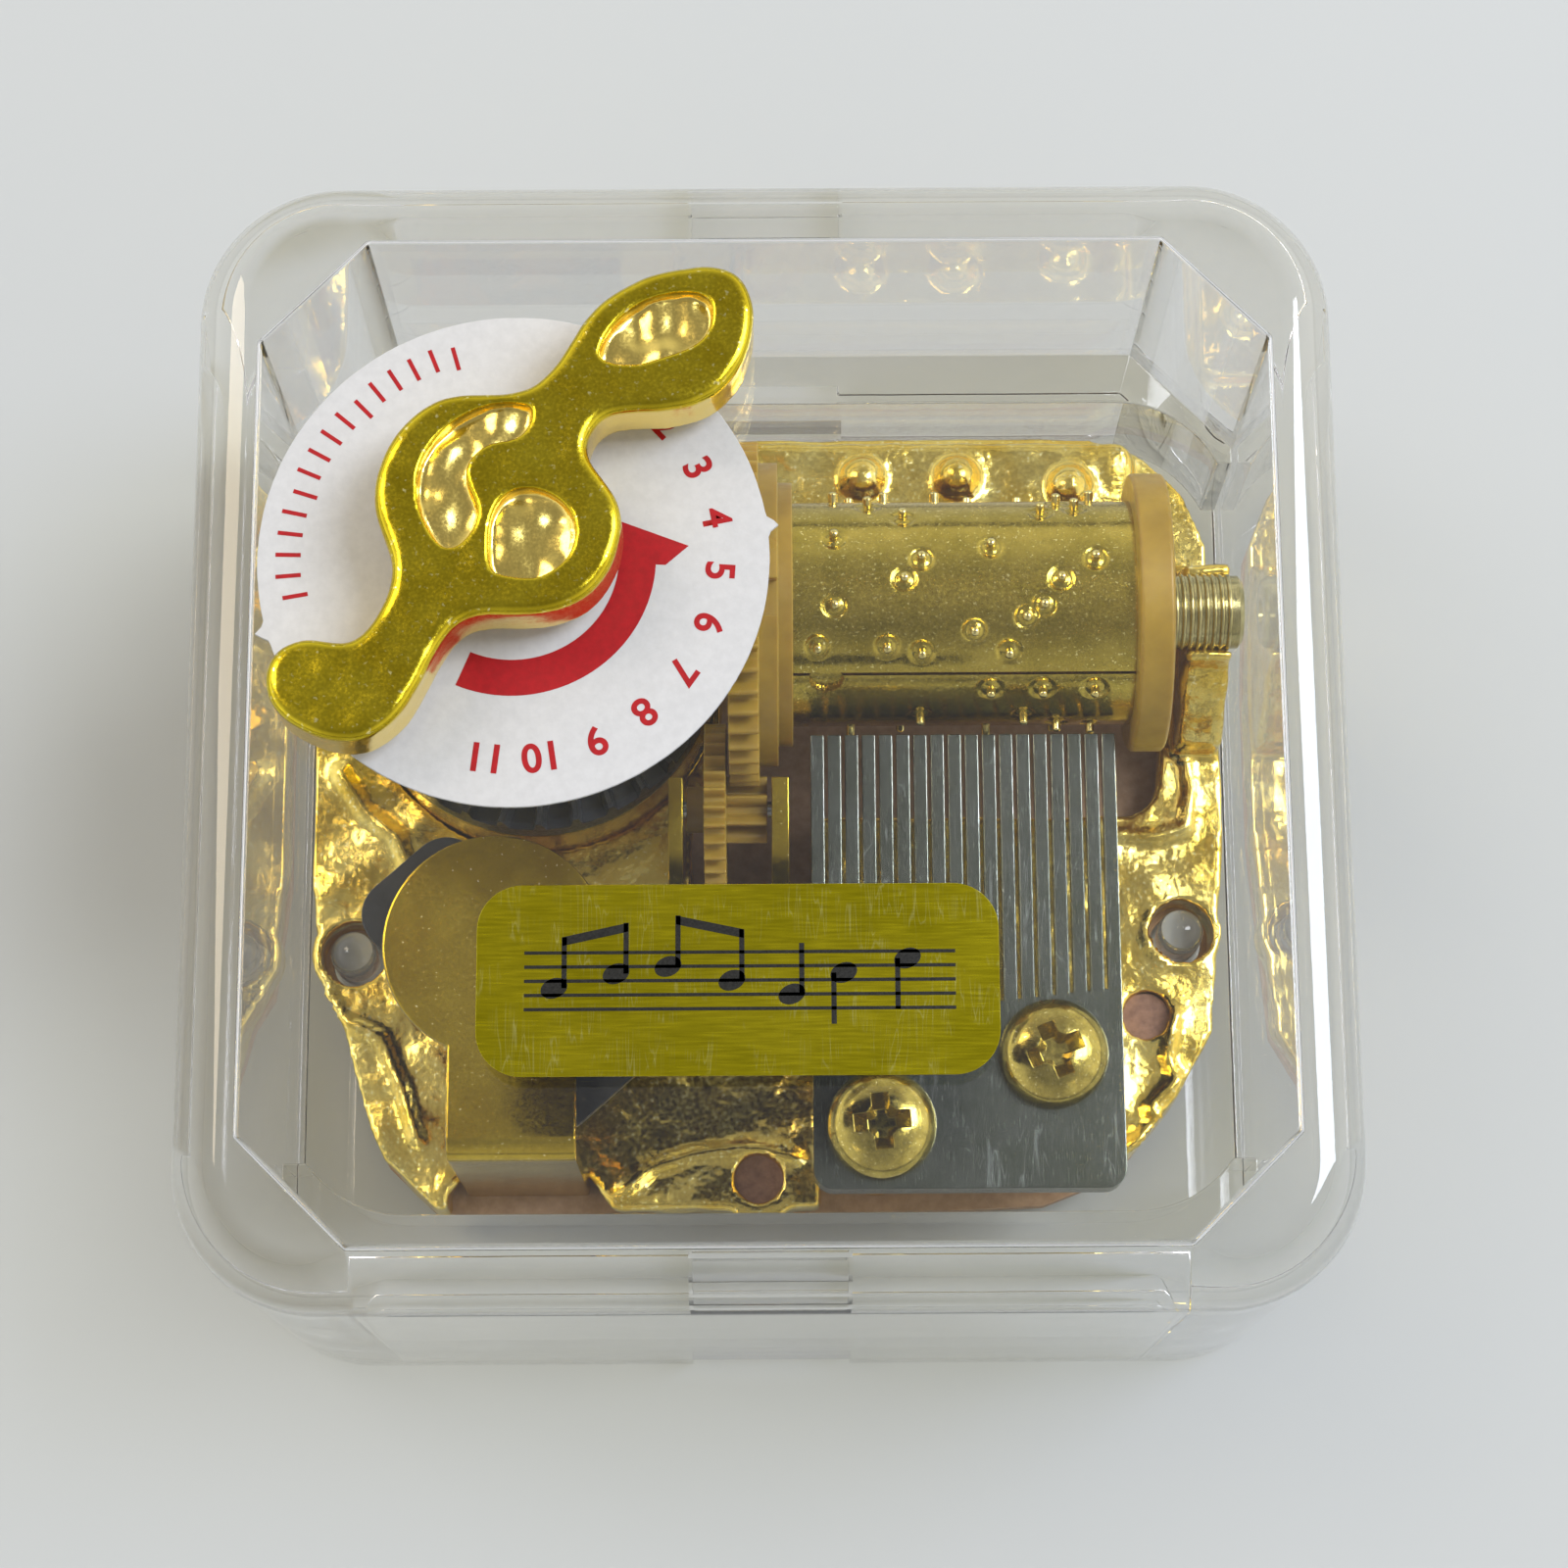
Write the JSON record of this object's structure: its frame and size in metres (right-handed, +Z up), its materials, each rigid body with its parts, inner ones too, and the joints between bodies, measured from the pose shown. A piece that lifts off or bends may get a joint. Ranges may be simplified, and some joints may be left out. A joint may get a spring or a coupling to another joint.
{
  "type": "wind-up music box",
  "caption": "Clear boxed wind-up musical movement with a clef-shaped key on the lid, pinned cylinder, steel comb, gear train and air-brake governor.",
  "frame": {"origin": "centre of the case's underside, on the surface it stands on", "axes": "+Z up through the lid, +X towards the cylinder's bush, +Y towards the back, away from the comb's screws"},
  "size_m": [0.06, 0.06, 0.0354],
  "materials": {
    "clear_plastic": "clear polished",
    "pad_board": "matt",
    "gold_casting": "gold plated, fine cast grain",
    "gold_sheet": "gold plated sheet",
    "cylinder_brass": "satin brass",
    "screw_brass": "brass plated",
    "steel": "ground",
    "spring_steel": "blued",
    "comb_steel": "ground",
    "bush_metal": "turned",
    "yellow_nylon": "satin",
    "black_nylon": "satin",
    "key_gold": "gold plated, polished edges",
    "disc_card": "printed matt card",
    "label_foil": "brushed gold foil"
  },
  "bodies": {
    "case": {"case_cover": "clear_plastic", "case_tray": "clear_plastic", "movement_pad": "pad_board", "base_plate": "gold_casting", "foot_screws": "steel", "spring_cup": "gold_sheet", "mainspring": "spring_steel", "motor_bridge": "gold_sheet", "pivot_bush": "bush_metal", "governor_cover": "gold_sheet", "governor_bracket": "gold_sheet", "gear_bracket": "gold_sheet", "comb": "comb_steel", "comb_screws": "screw_brass", "winding_disc": "disc_card", "title_label": "label_foil"},
    "cylinder": {"cylinder_barrel": "cylinder_brass", "cylinder_gear": "yellow_nylon", "cylinder_cap": "yellow_nylon", "cylinder_shaft": "steel"},
    "second_arbor": {"second_wheel": "yellow_nylon", "second_shaft": "steel"},
    "third_arbor": {"third_pinion": "yellow_nylon", "worm_wheel": "yellow_nylon", "third_shaft": "steel"},
    "governor": {"governor_worm": "steel", "governor_fan": "black_nylon"},
    "drive": {"drive_gear": "black_nylon", "clutch_spring": "spring_steel"},
    "key": {"winding_key": "key_gold", "winding_arbor": "steel"}
  },
  "joints": [
    {"name": "cylinder_spin", "type": "hinge", "parent": "case", "child": "cylinder", "pos_m": [0.01, 0.0098, 0.015], "axis": [1, 0, 0], "continuous": true},
    {"name": "second_spin", "type": "hinge", "parent": "case", "child": "second_arbor", "pos_m": [-0.002, -0.00063, 0.0122], "axis": [1, 0, 0], "continuous": true},
    {"name": "third_spin", "type": "hinge", "parent": "case", "child": "third_arbor", "pos_m": [-0.008, -0.0065, 0.01095], "axis": [1, 0, 0], "continuous": true},
    {"name": "governor_spin", "type": "hinge", "parent": "case", "child": "governor", "pos_m": [-0.0144, -0.011, 0.012], "axis": [0, 0, 1], "continuous": true},
    {"name": "drive_spin", "type": "hinge", "parent": "case", "child": "drive", "pos_m": [-0.013, 0.0085, 0.011], "axis": [0, 0, 1], "continuous": true},
    {"name": "key_wind", "type": "hinge", "parent": "drive", "child": "key", "pos_m": [-0.013, 0.0085, 0.033], "axis": [0, 0, 1], "range_deg": [0, 1980]}
  ],
  "couplings": [
    {"joint": "second_spin", "follows": "cylinder_spin", "ratio": -5.75},
    {"joint": "third_spin", "follows": "cylinder_spin", "ratio": 17.25},
    {"joint": "governor_spin", "follows": "cylinder_spin", "ratio": 207},
    {"joint": "drive_spin", "follows": "cylinder_spin", "ratio": 0.33333}
  ]
}
